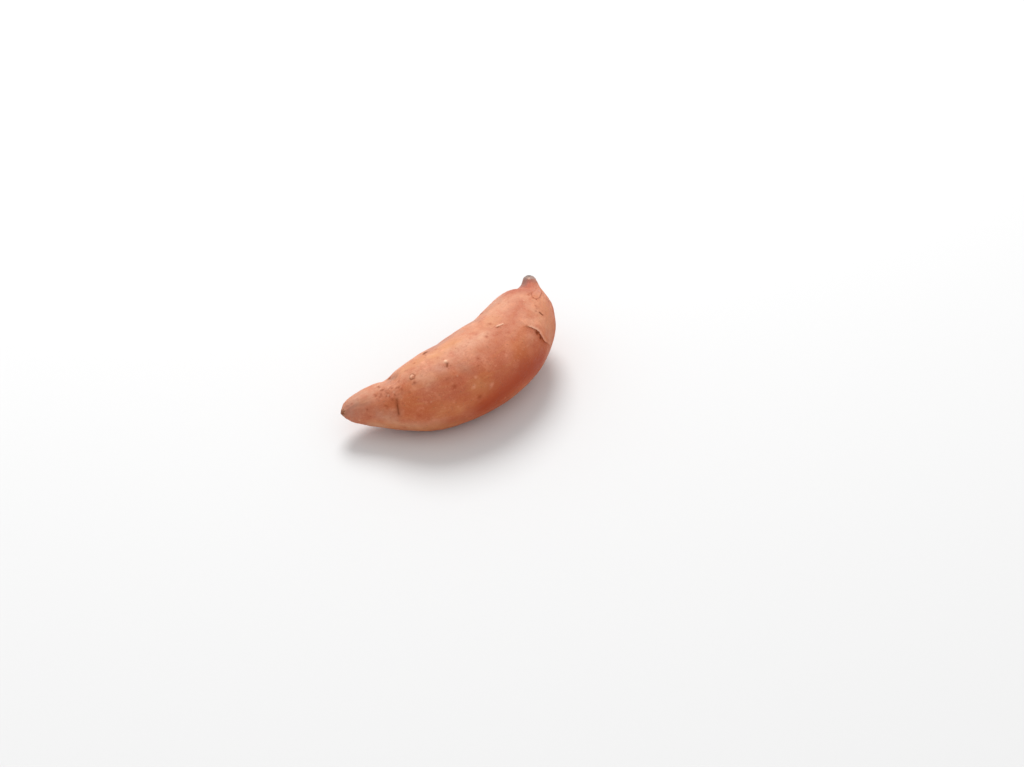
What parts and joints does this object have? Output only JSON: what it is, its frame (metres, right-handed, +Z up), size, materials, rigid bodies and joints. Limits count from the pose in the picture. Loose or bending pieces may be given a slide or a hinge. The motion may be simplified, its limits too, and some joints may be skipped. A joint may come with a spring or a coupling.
{
  "type": "sweet potato",
  "caption": "Whole sweet potato with a curved body, a thin root end and a short stem nub, lying on its side on a small flat spot.",
  "frame": {"origin": "centre of the bounding box in X and Y, on the table at Z = 0", "axes": "+Z up, +X along the length from the thin root tip towards the stem nub, +Y towards the hollow side of the curve"},
  "size_m": [0.1926, 0.0774, 0.0618],
  "materials": {
    "skin": "thin dry skin in copper orange with a soft waxy sheen, paler along the top"
  },
  "bodies": {
    "root": {"sweet_potato": "skin"}
  },
  "joints": []
}
